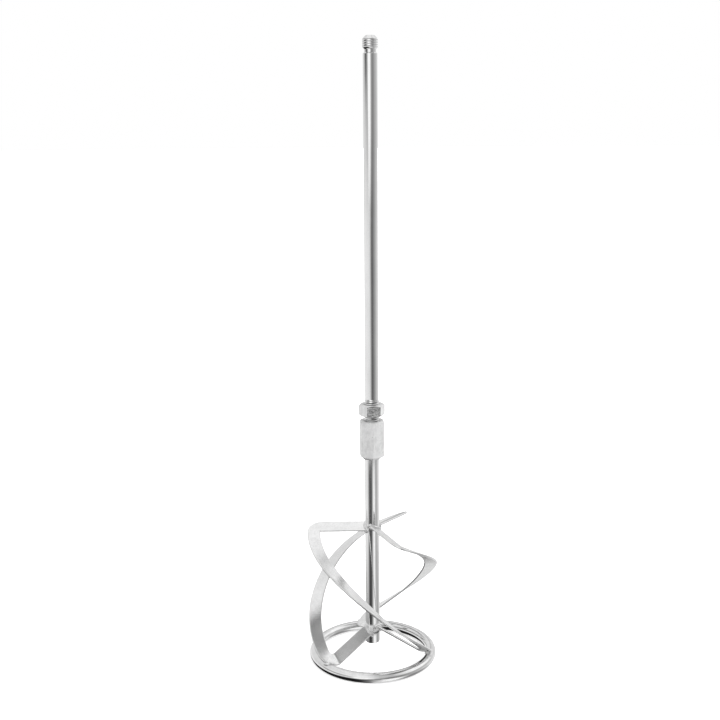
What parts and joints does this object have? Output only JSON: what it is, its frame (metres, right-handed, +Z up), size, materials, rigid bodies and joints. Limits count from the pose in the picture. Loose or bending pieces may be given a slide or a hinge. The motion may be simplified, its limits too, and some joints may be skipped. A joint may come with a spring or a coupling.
{
  "type": "mortar mixing paddle",
  "caption": "Steel mixing paddle: threaded shaft in two lengths joined by a long hex coupling with a jam nut, twisted flat-bar blades and a round-bar ring at the foot.",
  "frame": {"origin": "on the floor at the centre of the ring, which is on the shaft's axis", "axes": "+Z up along the shaft, towards the threaded end that the mixer's spindle takes; the blades wind anticlockwise seen from above as they fall"},
  "size_m": [0.1256, 0.1256, 0.59],
  "materials": {
    "bright_bar": "polished",
    "bright_ring": "gloss",
    "plated_hex": "satin",
    "satin_flat": "satin",
    "weld_metal": "matte"
  },
  "bodies": {
    "mixing_head": {"hex_coupling": "plated_hex", "coupling_weld": "weld_metal", "lower_rod": "bright_bar", "ring": "bright_ring", "blade_1": "satin_flat", "blade_2": "satin_flat", "blade_3": "satin_flat", "top_weld_1": "weld_metal", "top_weld_2": "weld_metal", "top_weld_3": "weld_metal", "bottom_weld_1": "weld_metal", "bottom_weld_2": "weld_metal", "bottom_weld_3": "weld_metal", "ring_weld_1": "weld_metal", "ring_weld_2": "weld_metal", "ring_weld_3": "weld_metal"},
    "jam_nut": {"jam_nut": "plated_hex"},
    "upper_rod": {"upper_rod": "bright_bar"}
  },
  "joints": [
    {"name": "nut_travel", "type": "slide", "parent": "mixing_head", "child": "jam_nut", "axis": [0, 0, 1], "range_m": [-0.003, 0.02]},
    {"name": "rod_turn", "type": "hinge", "parent": "jam_nut", "child": "upper_rod", "pos_m": [0, 0, 0.24], "axis": [0, 0, 1], "range_deg": [-545, 3605]}
  ],
  "couplings": [
    {"joint": "rod_turn", "follows": "nut_travel", "rad_per_m": 3141.6}
  ]
}
